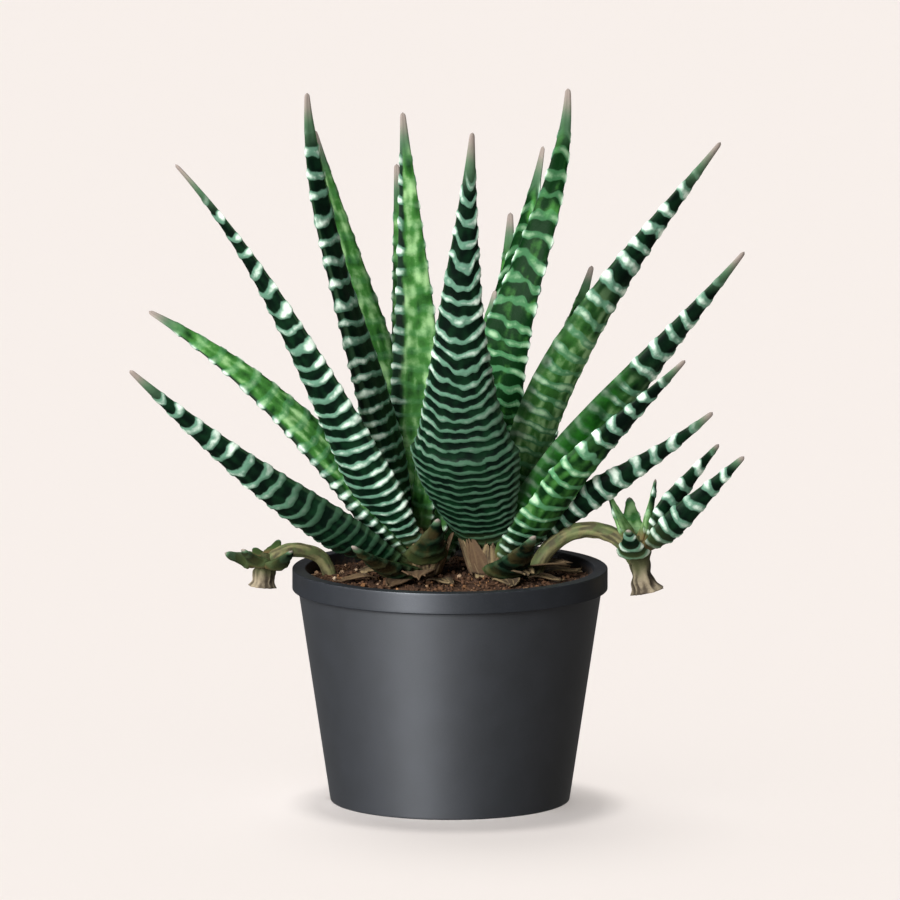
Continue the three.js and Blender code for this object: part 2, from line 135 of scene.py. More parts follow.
def mixed(share, first, second):
    """The first colour where share is 0 and the second where it is 1."""
    return share.node("Mix", {0: share, 6: first, 7: second}, output=2, data_type="RGBA")


def speckle(place, size, detail=2.0, roughness=0.5):
    """Noise from 0 to 1, with blotches about size millimetres across."""
    inputs = {"Vector": place, "Scale": 1000 / size, "Detail": detail, "Roughness": roughness}
    return place.node("TexNoise", inputs)


def tint(red, green, blue):
    """A colour as it is read off a screen, from 0 to 255, made linear for a shader."""
    screen = np.array([red, green, blue]) / 255
    linear = np.where(screen > 0.04045, ((screen + 0.055) / 1.055) ** 2.4, screen / 12.92)
    return (*linear.tolist(), 1)


def started(name):
    """A new material, with a wire that carries the place on the object."""
    material = bpy.data.materials.new(name)
    material.use_nodes = True
    material.node_tree.nodes.clear()
    return material, Wire(material.node_tree).node("TexCoord", {}, output="Object")


def finished(place, inputs):
    """Ends a material with its shader."""
    place.node("OutputMaterial", {"Surface": place.node("BsdfPrincipled", inputs)})


def raised(height, size):
    """The normal of a surface whose relief is size millimetres deep."""
    return height.node("Bump", {"Height": height, "Strength": 1.0, "Distance": size * MM})


def stood(name, mesh, slot, *nodes):
    """A piece of the object: it stands for the named CAD nodes."""
    piece = bpy.data.objects.new(name, mesh)
    bpy.context.scene.collection.objects.link(piece)
    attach(piece, "root")
    if nodes:
        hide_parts(*nodes)
    return piece


def spun(profile, steps):
    """A closed shape turned about Z from a profile of (radius, height) that ends on the axis."""
    bm = bmesh.new()
    corners = [bm.verts.new((radius * MM, 0, height * MM)) for radius, height in profile]
    line = [bm.edges.new(pair) for pair in zip(corners, corners[1:])]
    whole = {"axis": (0, 0, 1), "angle": tau, "steps": steps, "use_merge": True}
    bmesh.ops.spin(bm, geom=corners + line, cent=(0, 0, 0), **whole)
    bmesh.ops.remove_doubles(bm, verts=bm.verts, dist=0.001 * MM)
    bmesh.ops.recalc_face_normals(bm, faces=bm.faces)
    return bm


def wall_radius(height):
    """The outer radius of the pot at a height below its collar."""
    return FOOT_RADIUS + (RIM_RADIUS - COLLAR_OVERHANG - FOOT_RADIUS) * height / COLLAR_FOOT


ring_inside = FOOT_RADIUS - FOOT_RING
bm = spun(
    [
        (0, 0),
        (CENTRE_DISC, 0),
        (CENTRE_DISC + RECESS, RECESS),
        (ring_inside - RECESS, RECESS),
        (ring_inside, 0),
        (FOOT_RADIUS, 0),
        (wall_radius(COLLAR_FOOT), COLLAR_FOOT),
        (RIM_RADIUS, COLLAR_FOOT),
        (RIM_RADIUS, POT_HEIGHT),
        (RIM_RADIUS - LIP, POT_HEIGHT),
        (wall_radius(COLLAR_FOOT) - WALL, COLLAR_FOOT),
        (wall_radius(POT_FLOOR) - WALL, POT_FLOOR),
        (0, POT_FLOOR),
    ],
    SPIN_STEPS,
)
corners = [edge for edge in bm.edges if edge.calc_face_angle(0) > radians(12)]
bmesh.ops.bevel(
    bm, geom=corners, offset=CORNER * MM, segments=4, profile=0.5, affect="EDGES", material=-1
)
for height in (0.7, 1.9, 4, 30, COLLAR_FOOT - 0.9, COLLAR_FOOT + 0.9, POT_HEIGHT - 0.9):
    everything = bm.verts[:] + bm.edges[:] + bm.faces[:]
    level = {"plane_co": (0, 0, height * MM), "plane_no": (0, 0, 1)}
    bmesh.ops.bisect_plane(bm, geom=everything, dist=0.001 * MM, **level)
pot_mesh = bpy.data.meshes.new("pot")
bm.to_mesh(pot_mesh)
bm.free()

bm = bmesh.new()
for i in range(DRAINS):
    around = tau * (i + 0.5) / DRAINS
    way = Vector((cos(around), sin(around), 0)) * DRAIN_CIRCLE * MM
    through_floor = {"radius1": DRAIN_DIAMETER / 2 * MM, "radius2": DRAIN_DIAMETER / 2 * MM}
    bmesh.ops.create_cone(
        bm, cap_ends=True, segments=32, depth=12 * MM, matrix=Matrix.Translation(way), **through_floor
    )
for i in range(NOTCHES):
    size = Matrix.Diagonal((2 * FOOT_RING * MM, NOTCH_WIDTH * MM, 2 * RECESS * MM, 1))
    out = Matrix.Translation(((FOOT_RADIUS - FOOT_RING / 2) * MM, 0, 0))
    bmesh.ops.create_cube(bm, size=1, matrix=Matrix.Rotation(tau * i / NOTCHES, 4, "Z") @ out @ size)
cutter = bpy.data.objects.new("pot_cutter", bpy.data.meshes.new("pot_cutter"))
bm.to_mesh(cutter.data)
bm.free()
bpy.context.scene.collection.objects.link(cutter)

pot = stood("pot_moulding", pot_mesh, "pot", "pot")
cut = pot.modifiers.new("cut", "BOOLEAN")
cut.object = cutter
cut.solver = "EXACT"
pot.modifiers.new("even", "WEIGHTED_NORMAL").weight = 90
pot_mesh.shade_smooth()
pot.data = bpy.data.meshes.new_from_object(pot.evaluated_get(bpy.context.evaluated_depsgraph_get()))
pot.modifiers.clear()
bpy.data.objects.remove(cutter)

material, place = started("charcoal_plastic")
height = place.node("SeparateXYZ", {"Vector": place}, output="Z")
radius = place.node("VectorMath", {0: place, 1: (1, 1, 0)}, operation="MULTIPLY")
radius = radius.node("VectorMath", {0: radius}, output="Value", operation="LENGTH")
cloud = speckle(place, 9, 3)
grain = speckle(place, 0.35, 2, 0.7)
lip = between(height, (POT_HEIGHT - 0.6) * MM, POT_HEIGHT * MM)
# Lighter grey patches in spots along the top 0.6 mm of the rim.
pale_rim_patches = between(speckle(place, 1.6, 4, 0.7), 0.5, 0.72) * lip
collar = between(height, (COLLAR_FOOT - 0.3) * MM, (COLLAR_FOOT + 0.2) * MM)
mouth = RIM_RADIUS - LIP
inside = 1 - between(radius, (mouth - 0.1) * MM, (mouth + 0.2) * MM)
inside = inside * between(height, (COLLAR_FOOT + 0.1) * MM, (COLLAR_FOOT + 3.1) * MM)
low = 1 - between(height, (POT_HEIGHT - 2.8) * MM, (POT_HEIGHT - 0.8) * MM)
splashed = inside * low * between(speckle(place, 1.3, 5, 0.7), 0.42, 0.6)
colour = mixed(between(cloud, 0.3, 0.7), tint(24, 27, 31), tint(28, 31, 36))
colour = mixed(between(grain, 0.35, 0.75) * 0.4, colour, tint(40, 41, 44))
colour = mixed(pale_rim_patches * 0.3, colour, tint(76, 77, 82))
colour = mixed(splashed * 0.7, colour, tint(84, 66, 50))
finished(
    place,
    {
        "Base Color": colour,
        "Roughness": 0.38 + 0.06 * grain + 0.04 * cloud + 0.4 * splashed,
        "Specular IOR Level": 0.2,
        "Coat Weight": 1 - 0.85 * collar,
        "Coat Roughness": 0.43,
        "Coat IOR": 1.6,
        "Normal": raised(grain, 0.03),
    },
)
pot.data.materials.clear()
pot.data.materials.append(material)

# Potting mix: a dark, crumbly blend of bark, peat and grit, heaped a little round the plants. Its
# surface is a spun disc with lumps, and loose crumbs, chips and grit lie half sunk in it.
SOIL_TOP = 63.6
SOIL_MOUND = 1.2
SOIL_LUMP = 0.35
SOIL_RINGS = 110
SOIL_STEPS = 230
CLEARANCE = 0.3
CRUMBS = 1500
CHIPS = 260
LEFT_CROWN = {"x": -9.5, "y": 0, "top": 75.6, "drop": 1.7}
RIGHT_CROWN = {"x": 12.5, "y": 1, "top": 75.6, "drop": 1.7}

soil_radius = wall_radius(COLLAR_FOOT) - WALL - CLEARANCE
draw = np.random.default_rng(7)


def soil_height(x, y):
    """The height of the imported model's mix at a point, all in millimetres."""
    share = np.minimum(1, np.hypot(x, y) / (wall_radius(COLLAR_FOOT) - WALL))
    lumps = np.sin(0.61 * x + 1.3) * np.sin(0.53 * y) + 0.6 * np.sin(0.37 * x - 0.71 * y)
    return SOIL_TOP + SOIL_MOUND * (1 - share**2) + SOIL_LUMP * lumps * (1 - share)


def shaped(mesh, places):
    """Moves the vertices of a mesh to places in millimetres."""
    mesh.vertices.foreach_set("co", (places * MM).astype(np.float32).ravel())
    mesh.update()


def places_of(mesh):
    """The vertices of a mesh, in millimetres."""
    found = np.empty(len(mesh.vertices) * 3, np.float32)
    mesh.vertices.foreach_get("co", found)
    return found.reshape(-1, 3).astype(float) / MM


def rippled(places, size, seed=0):
    """Smooth noise from about -1 to 1 at places in millimetres, size millimetres across."""
    return np.array([noise.noise(Vector(place)) for place in places / size + 7.3 * seed])


def marked(mesh, name, values):
    """Keeps a number for each vertex, for a material to read."""
    mesh.attributes.new(name, "FLOAT", "POINT").data.foreach_set("value", values.astype(np.float32))


def mark(place, name):
    """A number that each vertex of the mesh keeps, for a material."""
    return place.node("Attribute", {}, output="Fac", attribute_name=name)


bottom = [(0, POT_FLOOR), (wall_radius(POT_FLOOR) - WALL - CLEARANCE, POT_FLOOR)]
surface = [(soil_radius * (1 - i / SOIL_RINGS), SOIL_TOP) for i in range(SOIL_RINGS + 1)]
bm = spun(bottom + surface, SOIL_STEPS)
soil_mesh = bpy.data.meshes.new("mix")
bm.to_mesh(soil_mesh)
bm.free()
places = places_of(soil_mesh)
top = places[:, 2] > SOIL_TOP - 0.01
surface = places[top]
clods = 0.75 * rippled(surface, 4.2, 1) + 0.42 * rippled(surface, 1.7, 2) + 0.2 * rippled(surface, 0.8, 3)
places[top, 2] = soil_height(surface[:, 0], surface[:, 1]) + 0.8 * clods - 0.25
shaped(soil_mesh, places)
soil_mesh.shade_smooth()
soil = stood("mix_surface", soil_mesh, "potting_mix", "potting_mix")

bm = bmesh.new()
tone = bm.verts.layers.float.new("tone")
for i in range(CRUMBS + CHIPS):
    distance = soil_radius * 0.985 * np.sqrt(draw.random())
    around = draw.random() * tau
    x, y = distance * cos(around), distance * sin(around)
    size = 0.22 + 0.6 * draw.random() ** 3
    turn = Matrix.Rotation(draw.random() * tau, 4, Vector(draw.normal(size=3)).normalized())
    if i < CRUMBS:
        form = Matrix.Diagonal((*(size * (0.7 + 0.6 * draw.random(3))), 1))
    else:
        form = Matrix.Diagonal((1.2 + 2.6 * draw.random() ** 2, 0.35 + 0.5 * size, 0.28, 1))
        turn = Matrix.Rotation(around * 3, 4, "Z") @ Matrix.Rotation(0.5 * draw.normal(), 4, "X")
    sunk = float(soil_height(x, y)) + 0.15 * size
    spot = Matrix.Translation((x, y, sunk)) @ turn @ form
    placed = Matrix.Scale(MM, 4) @ spot
    if i < CRUMBS:
        made = bmesh.ops.create_icosphere(bm, subdivisions=1, radius=1, matrix=placed)
    else:
        made = bmesh.ops.create_cube(bm, size=1, matrix=placed)
    shade = draw.random()
    for vertex in made["verts"]:
        vertex[tone] = shade
grit_mesh = bpy.data.meshes.new("grit")
bm.to_mesh(grit_mesh)
bm.free()
grit = stood("mix_crumbs", grit_mesh, "potting_mix")

material, place = started("potting_mix")
clod = speckle(place, 3.2, 4, 0.6)
fine = speckle(place, 0.5, 3, 0.7)
colour = mixed(between(clod, 0.3, 0.7), tint(56, 38, 27), tint(86, 61, 44))
colour = mixed(between(fine, 0.35, 0.7) * 0.55, colour, tint(40, 27, 20))
colour = mixed(between(speckle(place, 0.75, 1), 0.7, 0.76), colour, tint(176, 124, 76))
finished(
    place,
    {
        "Base Color": colour,
        "Roughness": 0.86 + 0.1 * fine,
        "Specular IOR Level": 0.25,
        "Normal": raised(fine + clod, 0.35),
    },
)
soil.data.materials.append(material)

material, place = started("crumbs")
tone = mark(place, "tone")
stops = [
    (0.0, tint(44, 30, 22)),
    (0.3, tint(74, 51, 36)),
    (0.6, tint(100, 71, 50)),
    (0.86, tint(60, 42, 30)),
    (0.95, tint(150, 106, 68)),
    (1.0, tint(184, 162, 136)),
]
fine = speckle(place, 0.5, 3, 0.7)
colour = tone.node("ValToRGB", {"Fac": tone}, stops=stops)
colour = mixed(between(fine, 0.4, 0.75) * 0.5, colour, tint(30, 21, 15))
finished(
    place,
    {
        "Base Color": colour,
        "Roughness": 0.82 + 0.12 * fine,
        "Specular IOR Level": 0.25,
        "Normal": raised(fine, 0.15),
    },
)
grit.data.materials.append(material)

# Stems: the short woody hearts that carry the rosettes, dry and pale where old leaves have gone. The
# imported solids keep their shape, because only a sliver of each shows between the leaves.
material, place = started("dry_stem")
ring = speckle(place.node("Mapping", {"Vector": place, "Scale": (0.25, 0.25, 2.2)}), 1.4, 4, 0.6)
colour = mixed(between(ring, 0.35, 0.7), tint(92, 74, 50), tint(158, 138, 100))
finished(place, {"Base Color": colour, "Roughness": 0.75 + 0.15 * ring, "Normal": raised(ring, 0.4)})
for name in ("left_stem", "right_stem"):
    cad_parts[name].material_slots[0].material = material

# Leaves: thick, tapering and hard, dark green outside and brighter green on the face that looks at
# the heart, with rows of pearly white tubercles run together into raised bands. Each leaf is a tube
# made from a grid, closed at both ends and shaped along its curve, with the bands as real relief.
FOOT_WIDTH_SHARE = 0.72
WIDEST_AT = 0.2
TIP_WIDTH = 1.5
TAPER = 0.92
OUTER_BULGE = 0.29
INNER_BULGE = 0.08
FOOT_THICKNESS_SHARE = 0.75
LEAST_OUTER = 0.45
LEAST_INNER = 0.35
SPINE_STEPS = 60
FIRST_LEAF_REACH = 1
TIER_REACH = 0.7
RING_SPACING = 0.5
OUTER_SHARE_OF_RING = 0.62
BAND_HEIGHT = 0.55
TIP_DOME = 1.3
LADDER_STEPS = 400
# In the leaf tables below, the value that darkens and dulls a leaf lying in shade is painted shade.
DEFAULTS = {
    "sweep": 0,
    "twist": 0,
    "tip_twist": 0,
    "taper": TAPER,
    "foot": FOOT_WIDTH_SHARE,
    "widest": WIDEST_AT,
    "pitch": (3.1, 6.4),
    "finer": 0,
    "banded_inside": 0.3,
    "whiter": 0,
    "sag": -0.15,
    "ripple": 0.12,
    "ragged": 0.6,
    "lean": 0,
    "greener": 0,
    "strip": 0,
    "bare": 0,
    "painted_shade": 0,
    "tone_and_painted_light": 0,
}
# In these tables, the value that makes a leaf's greens paler above 0 and darker below 0 is partly the
# leaf's own tone and partly painted light and shade.
LEFT_LEAVES = {
    "heart": dict(tier=0, bearing=40, climb=(86, 84, 86), length=46, width=10),
    "upright_back": dict(
        tier=1, bearing=86, sweep=20, climb=(70, 68, 76), length=126, width=19,
        banded_inside=0.2, strip=0.22, tone_and_painted_light=0.22,
    ),
    "upright_left": dict(
        tier=1, bearing=176, climb=(83, 73, 88), twist=-16, length=133, width=22,
        tip_twist=-40, banded_inside=1, strip=0.9,
    ),
    "back_left": dict(
        tier=2, bearing=113, sweep=26, climb=(68, 66, 70), length=125, width=22, tone_and_painted_light=0.2
    ),
    "left": dict(
        tier=2, bearing=232, sweep=-46, climb=(50, 60, 47), twist=22, length=140, width=17, lean=0.4
    ),
    "back_right": dict(tier=2, bearing=50, climb=(66, 64, 70), length=78, width=14),
    "back": dict(tier=3, bearing=93, sweep=4, climb=(56, 56, 62), length=123, width=15),
    "front": dict(tier=3, bearing=290, climb=(30, 42, 56), length=20, width=13, painted_shade=1.1),
    "arching_left": dict(
        tier=3, bearing=200, sweep=-40, climb=(58, 44, 25), twist=-36, length=104, width=19,
        banded_inside=0.5, tone_and_painted_light=0.1,
    ),
    "low_back_left": dict(tier=4, bearing=129, climb=(44, 46, 54), length=68, width=15),
    "low_front_left": dict(
        tier=4, bearing=208, sweep=-4, climb=(26, 36, 42), twist=40, length=106, width=18, painted_shade=0.97
    ),
    "low_back": dict(tier=5, bearing=98, climb=(22, 26, 34), length=76, width=15),
    "low_back_right": dict(tier=5, bearing=60, climb=(34, 38, 46), length=66, width=14),
    "low_front": dict(tier=5, bearing=242, climb=(14, 18, 28), length=36, width=13, painted_shade=1.1),
}
RIGHT_LEAVES = {
    "heart": dict(tier=0, bearing=100, climb=(86, 84, 86), length=46, width=10),
    "upright_right": dict(
        tier=1, bearing=112, sweep=-140, climb=(80, 67, 89), twist=36, length=134, width=20,
        tip_twist=80, banded_inside=0.65, sag=0.25, ripple=0.3, ragged=1, tone_and_painted_light=-0.6,
    ),
    "upright_back": dict(
        tier=1, bearing=102, sweep=-66, climb=(64, 63, 77), length=119, width=22,
        banded_inside=0.55, sag=0.3, ripple=0.3, ragged=1, tone_and_painted_light=-0.6,
    ),
    "great_front": dict(
        tier=2, bearing=240, sweep=60, climb=(57, 69, 84), length=136, width=31, taper=0.58,
        foot=0.4, widest=0.28, pitch=(2.7, 6.2), finer=0.13, sag=-0.6, ripple=0.3, lean=0.5, painted_shade=0.78,
    ),
    "right": dict(
        tier=2, bearing=4, sweep=8, climb=(86, 58, 51), twist=-58, length=134, width=21,
        banded_inside=0.9, whiter=0.55, bare=0.2, ragged=0.8, lean=0.3, greener=0.9, tone_and_painted_light=0.3,
    ),
    "back": dict(tier=3, bearing=86, climb=(54, 50, 60), length=112, width=17),
    "broad_right": dict(
        tier=3, bearing=334, sweep=20, climb=(60, 50, 51), twist=-40, length=115, width=21,
        banded_inside=0.9, whiter=0.3, bare=0.5, lean=0.3, greener=0.9, tone_and_painted_light=0.1,
    ),
    "back_right": dict(tier=3, bearing=63, climb=(56, 50, 54), length=96, width=17),
    "slender_right": dict(
        tier=3, bearing=354, climb=(42, 32, 42), twist=-60, length=73, width=13, whiter=0.45
    ),
    "low_right": dict(
        tier=4, bearing=330, sweep=8, climb=(61, 45, 45), twist=-30, length=84, width=18,
        banded_inside=0.9, whiter=-0.1, ragged=0.8, greener=0.9, tone_and_painted_light=-0.25,
    ),
    "low_back_right": dict(tier=4, bearing=32, climb=(46, 46, 48), length=77, width=15),
    "low_back": dict(tier=5, bearing=88, climb=(24, 26, 32), length=80, width=15),
    "low_front": dict(tier=5, bearing=290, climb=(18, 26, 34), length=32, width=13, painted_shade=1.1),
}


def smooth(value, low, high):
    """0 below low, 1 above high, and smooth from one to the other."""
    share = np.clip((value - low) / (high - low), 0, 1)
    return share * share * (3 - 2 * share)


def blended(first, second, share):
    return first + (second - first) * share


def through(values, t):
    """A smooth run through three values: the first at t = 0, the next half way and the last at t = 1."""
    start, middle, end = values
    return start * (1 - t) * (1 - 2 * t) + 4 * middle * t * (1 - t) + end * t * (2 * t - 1)


def heading(leaf, t):
    """The direction of a leaf at t, its share of the way from foot to tip."""
    climb = through(leaf["climb"], t)
    bearing = np.radians(leaf["bearing"] + leaf["sweep"] * t)
    way = np.stack([np.cos(bearing), np.sin(bearing), np.tan(np.radians(climb))], -1)
    return way / np.linalg.norm(way, axis=-1, keepdims=True)


def width_at(leaf, t):
    """The width of a leaf at t: a narrow foot, then an even taper to the tip."""
    swell = np.sin(np.minimum(t / leaf["widest"], 1) * pi / 2)
    fall = np.clip((t - leaf["widest"]) / (1 - leaf["widest"]), 0, 1) ** leaf["taper"]
    grown = leaf["width"] * blended(leaf["foot"], 1, swell)
    return np.where(t < leaf["widest"], grown, blended(leaf["width"], TIP_WIDTH, fall))


def tube(around, along):
    """A grid to be rolled up: the shares of the way round and along of each vertex, and its mesh."""
    bm = bmesh.new()
    bmesh.ops.create_grid(bm, x_segments=around, y_segments=along, size=1)
    mesh = bpy.data.meshes.new("tube")
    bm.to_mesh(mesh)
    bm.free()
    flat = places_of(mesh)
    low, high = flat.min(0), flat.max(0)
    return (flat[:, 0] - low[0]) / (high[0] - low[0]), (flat[:, 1] - low[1]) / (high[1] - low[1]), mesh


def closed(mesh):
    """Joins the seam of a rolled grid, closes its ends and turns its faces outward."""
    bm = bmesh.new()
    bm.from_mesh(mesh)
    bmesh.ops.remove_doubles(bm, verts=bm.verts, dist=0.002 * MM)
    bmesh.ops.holes_fill(bm, edges=[edge for edge in bm.edges if edge.is_boundary], sides=0)
    bmesh.ops.recalc_face_normals(bm, faces=bm.faces)
    bm.to_mesh(mesh)
    bm.free()
    mesh.shade_smooth()
    return mesh


def leaf_mesh(crown, leaf, seed):
    """The whole skin of one leaf, with its bands raised and marked for the material."""
    leaf = {**DEFAULTS, **leaf}
    length = leaf["length"]
    round_steps = int(36 + 1.4 * leaf["width"])
    spacing = min(RING_SPACING, leaf["pitch"][0] / 6)
    a, t, mesh = tube(round_steps, round(length / spacing))

    # the middle line, and the way across and up at each vertex
    steps = (np.arange(SPINE_STEPS) + 0.5) / SPINE_STEPS
    reach = FIRST_LEAF_REACH + TIER_REACH * leaf["tier"]
    out = radians(leaf["bearing"])
    foot = [crown["x"] + reach * cos(out), crown["y"] + reach * sin(out)]
    foot.append(crown["top"] - crown["drop"] * leaf["tier"])
    spine = np.vstack([foot, foot + np.cumsum(heading(leaf, steps) * length / SPINE_STEPS, 0)])
    marks = np.linspace(0, 1, SPINE_STEPS + 1)
    centre = np.stack([np.interp(t, marks, spine[:, axis]) for axis in range(3)], -1)
    forward = heading(leaf, t)
    level = np.stack([-forward[:, 1], forward[:, 0], 0 * t], -1)
    level /= np.linalg.norm(level, axis=1, keepdims=True)
    upward = -np.cross(level, forward)
    turn = np.radians(leaf["twist"]) * np.sin(np.minimum(1, 2 * t) * pi / 2)
    turn += np.radians(leaf["tip_twist"]) * smooth(t, 0.55, 0.95)
    side = level * np.cos(turn)[:, None] + upward * np.sin(turn)[:, None]
    inward = -np.cross(side, forward)

    # the section: a round outer face, and a nearly flat inner one
    outer_part = a < OUTER_SHARE_OF_RING
    inner_turn = pi * (1 + (a - OUTER_SHARE_OF_RING) / (1 - OUTER_SHARE_OF_RING))
    angle = np.where(outer_part, pi * a / OUTER_SHARE_OF_RING, inner_turn)
    dome = TIP_DOME / length
    rounding = np.sqrt(np.clip(1 - (np.maximum(t - 1 + dome, 0) / dome) ** 2, 0, 1))
    across, bulge = np.cos(angle), np.abs(np.sin(angle))
    width = width_at(leaf, t) * rounding
    fleshy = blended(FOOT_THICKNESS_SHARE, 1, np.minimum(1, t / WIDEST_AT))
    outer = np.maximum(OUTER_BULGE * width * fleshy, LEAST_OUTER * rounding)
    inner = np.maximum(INNER_BULGE * width * fleshy, LEAST_INNER * rounding)
    straight = np.stack([across * width / 2, np.where(outer_part, -bulge * outer, 0), t * length], -1)
    uneven = 1 + 0.02 * rippled(straight, 11, seed)

    # the bands: close together at the foot, wider apart further out, wavy and broken towards the margins
    ladder = np.linspace(0, 1, LADDER_STEPS)
    pitch = blended(*leaf["pitch"], smooth(ladder - leaf["finer"], 0.05, 0.7))
    count = np.concatenate([[0], np.cumsum(length / (LADDER_STEPS - 1) / pitch[1:])])
    waver = 0.3 * rippled(straight, 9, seed + 1)
    waver += leaf["ripple"] * rippled(straight * (1, 1, 0.3), 2.6, seed + 2)
    phase = np.interp(t, ladder, count) + waver + leaf["sag"] * across**2
    broken = rippled(straight, 3.2, seed + 3)
    beads = rippled(straight, 1.5, seed + 4) * smooth(np.abs(across), 0.2, 1)
    spread = 0.35 * leaf["whiter"] + 0.35 * across**2 + 0.35 * leaf["lean"] * across - 0.15
    wave = np.cos(tau * phase) + spread + leaf["ragged"] * broken + 0.5 * beads
    shown = smooth(t, 0.02, 0.07) * (1 - smooth(t + 0.03 * rippled(straight, 5, seed), 0.88, 0.94))
    strip = 2 * leaf["bare"] * (1 - smooth(t, 0.45, 0.7)) - 1.3 + 0.25 * rippled(straight, 4, seed + 5)
    bare = 1 - smooth(across, strip - 0.15, strip + 0.15)
    greener = leaf["greener"] * smooth(t, 0.08, 0.25) * (1 - smooth(t, 0.42, 0.66)) * (1 - bare)
    inside = np.where(outer_part, greener, smooth(bulge, 0.1, 0.55))
    strip = 1 - 2 * leaf["strip"] + 0.2 * rippled(straight, 3, seed + 9)
    inside *= 1 - smooth(across, strip - 0.1, strip + 0.1) * min(1, 20 * leaf["strip"])
    strength = blended(1, leaf["banded_inside"] * (1.4 - t), inside) * (1 - 0.9 * bare)
    ridge = smooth(wave, 0, 0.95) * shown * (1 - bare)
    pearls = 0.75 + 0.5 * rippled(straight, 1.1, seed + 6)
    relief = BAND_HEIGHT * ridge * pearls * blended(1, 0.3, inside) * np.minimum(1, 0.4 + width / 14)
    relief *= rounding
    # The per-leaf shift of the greens added to the mottling here is partly the leaf's own tone and partly
    # painted light and shade: above 0 the greens are paler, below 0 darker.
    mottle_and_painted_light = leaf["tone_and_painted_light"] + 0.6 * rippled(straight * (1, 1, 0.25), 1.7, seed + 7)
    mottle_and_painted_light += 0.6 * rippled(straight * (1, 1, 0.8), 2.6, seed + 8)
    # Painted shade: for a leaf whose value is below 1 it darkens and dulls the lower part, reaching a
    # little further up on one side, and fades out higher up. At 1 and above it covers the whole leaf.
    painted_shade = leaf["painted_shade"] * (1 - smooth(t - 0.1 * across, 0.2, 0.62) * (leaf["painted_shade"] < 1))

    # the skin
    crown_height = inner * (1 - across**4) * (1 - 0.12 * smooth(1 - np.abs(across), 0.6, 1))
    lift = np.where(outer_part, -bulge * outer, crown_height) * uneven
    slope = np.stack([across / np.maximum(width / 2, 0.3), lift / np.maximum(outer, 0.3) ** 2], -1)
    slope /= np.maximum(np.linalg.norm(slope, axis=1, keepdims=True), 1e-6)
    sideways = across * width / 2 * uneven + slope[:, 0] * relief
    lift = lift + slope[:, 1] * relief
    shaped(mesh, centre + side * sideways[:, None] + inward * lift[:, None])
    marked(mesh, "wave", wave)
    marked(mesh, "shown", shown * strength)
    marked(mesh, "inside", inside)
    marked(mesh, "margin", np.abs(across))
    marked(mesh, "along", t)
    marked(mesh, "from_foot", t * length)
    marked(mesh, "mottle_and_painted_light", mottle_and_painted_light)
    marked(mesh, "bare", bare)
    marked(mesh, "painted_shade", painted_shade)
    return closed(mesh)


leaf_skin, place = started("leaf_skin")
names = ("wave", "shown", "inside", "margin", "along", "from_foot", "mottle_and_painted_light", "bare", "painted_shade")
wave, shown, inside, margin, along, from_foot, mottle_and_painted_light, bare, painted_shade = (
    mark(place, name) for name in names
)
patch = speckle(place, 6, 3, 0.6)
fleck = speckle(place, 1.2, 3, 0.6)
pore = speckle(place, 0.28, 2, 0.6)
# The skin's greens follow the mottling. The mottling carries the per-leaf shift of painted light and shade
# as well as the leaf's own mottled tone.
dark_skin = mixed(between(patch + 0.4 * mottle_and_painted_light, 0.3, 0.8), tint(3, 16, 9), tint(9, 38, 20))
smooth_skin = mixed(between(patch, 0.3, 0.7), tint(6, 40, 6), tint(22, 76, 16))
dark_skin = mixed(bare, dark_skin, smooth_skin)
streak = mottle_and_painted_light + 0.5 * (fleck - 0.5)
bright_skin = mixed(between(streak, -0.6, 0.3), tint(4, 38, 9), tint(58, 112, 48))
bright_skin = mixed(between(streak, 0.1, 0.8), bright_skin, tint(148, 188, 130))
# Painted shade: where it is set, the inner face, the bands and their crests are darkened and the bands
# turn a dull grey-green. Above 1, brown patches are added as well.
skin = mixed(inside * (1 - 0.7 * painted_shade), dark_skin, bright_skin)
edge = between(margin + 0.03 * fleck, 0.94, 0.99)
skin = mixed(edge * 0.12, skin, tint(84, 122, 84))
band = between(wave + 0.5 * (fleck - 0.5), 0, 0.5) * shown
tone = 0.8 * (fleck - 0.5) + 1.6 * (patch - 0.5) + 0.35 * margin * margin
crest = between(wave + tone, 0.7, 1.8) * (1 - 0.8 * painted_shade)
pearl = mixed(crest, tint(84, 122, 102), tint(214, 230, 216))
green_pearl = mixed(crest, tint(72, 128, 84), tint(176, 216, 172))
pearl = mixed(inside, pearl, green_pearl)
pearl = mixed(painted_shade, pearl, tint(58, 92, 68))
skin = mixed(band * (1 - 0.7 * painted_shade * painted_shade), skin, pearl)
skin = mixed(between(painted_shade, 1, 1.2) * between(patch, 0.4, 0.6), skin, tint(74, 60, 36))
pale_foot = 1 - between(from_foot + 5 * patch, 4, 14)
skin = mixed(pale_foot * 0.5, skin, tint(76, 88, 50))
dry_foot = 1 - between(from_foot + 3 * patch, 2, 6)
skin = mixed(dry_foot * 0.8, skin, tint(104, 80, 54))
grey_tip = between(along + 0.03 * (patch - 0.5), 0.86, 0.95)
skin = mixed(grey_tip, skin, tint(70, 100, 74))
dry_tip = between(along + 0.03 * (patch - 0.5), 0.925, 0.99)
skin = mixed(dry_tip, skin, tint(134, 124, 117))
finished(
    place,
    {
        "Base Color": skin,
        "Roughness": 0.46 + 0.1 * fleck + 0.1 * band + 0.15 * dry_tip,
        "Specular IOR Level": 0.07,
        "Normal": raised(0.6 * pore + fleck, 0.1),
    },
)

rosettes = (("left", LEFT_CROWN, LEFT_LEAVES), ("right", RIGHT_CROWN, RIGHT_LEAVES))
seed = 0
for side_name, crown, leaves in rosettes:
    for name, leaf in leaves.items():
        seed += 10
        mesh = leaf_mesh(crown, leaf, seed)
        mesh.materials.append(leaf_skin)
        stood(f"{side_name}_{name}_leaf", mesh, "leaf", f"{side_name}_leaf_{name}")

